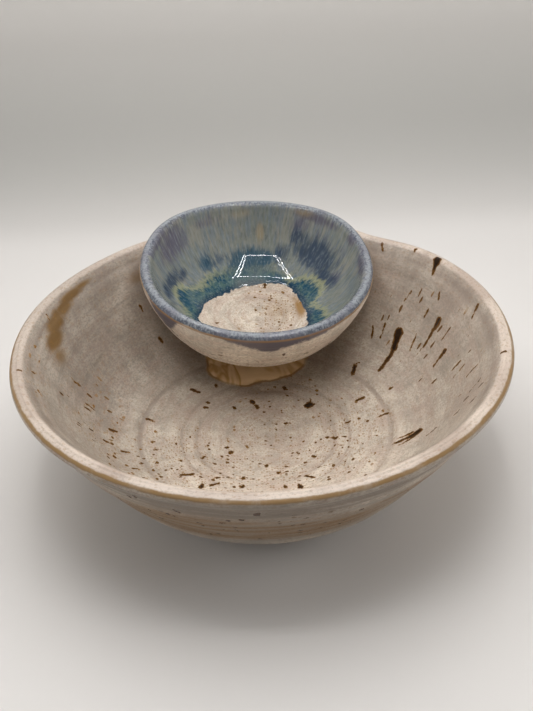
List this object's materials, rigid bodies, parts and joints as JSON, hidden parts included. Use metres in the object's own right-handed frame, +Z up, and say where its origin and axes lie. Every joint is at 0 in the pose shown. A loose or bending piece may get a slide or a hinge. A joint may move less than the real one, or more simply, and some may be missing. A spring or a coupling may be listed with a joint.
{
  "type": "chip and dip server",
  "caption": "Hand-thrown stoneware chip and dip server: a wide open bowl with a small dip bowl let into the back of its wall.",
  "frame": {"origin": "on the table under the middle of the object's footprint, about 6 mm behind the chip bowl's own axis because the dip bowl overhangs the back", "axes": "+Z up, -Y towards the front of the server, with the dip bowl at the back (+Y), +X to the right seen from the front"},
  "size_m": [0.27, 0.2828, 0.1024],
  "materials": {
    "cream_glaze": "satin oatmeal glaze over speckled stoneware, breaking to brown at the rim",
    "blue_glaze": "glossy streaked blue and grey glaze inside, cream outside, bare cream patch on the floor",
    "seam_glaze": "satin oatmeal glaze, thinner and browner over the luting clay"
  },
  "bodies": {
    "root": {"chip_bowl": "cream_glaze", "dip_bowl": "blue_glaze", "inside_seam": "seam_glaze", "outside_seam": "seam_glaze"}
  },
  "joints": []
}
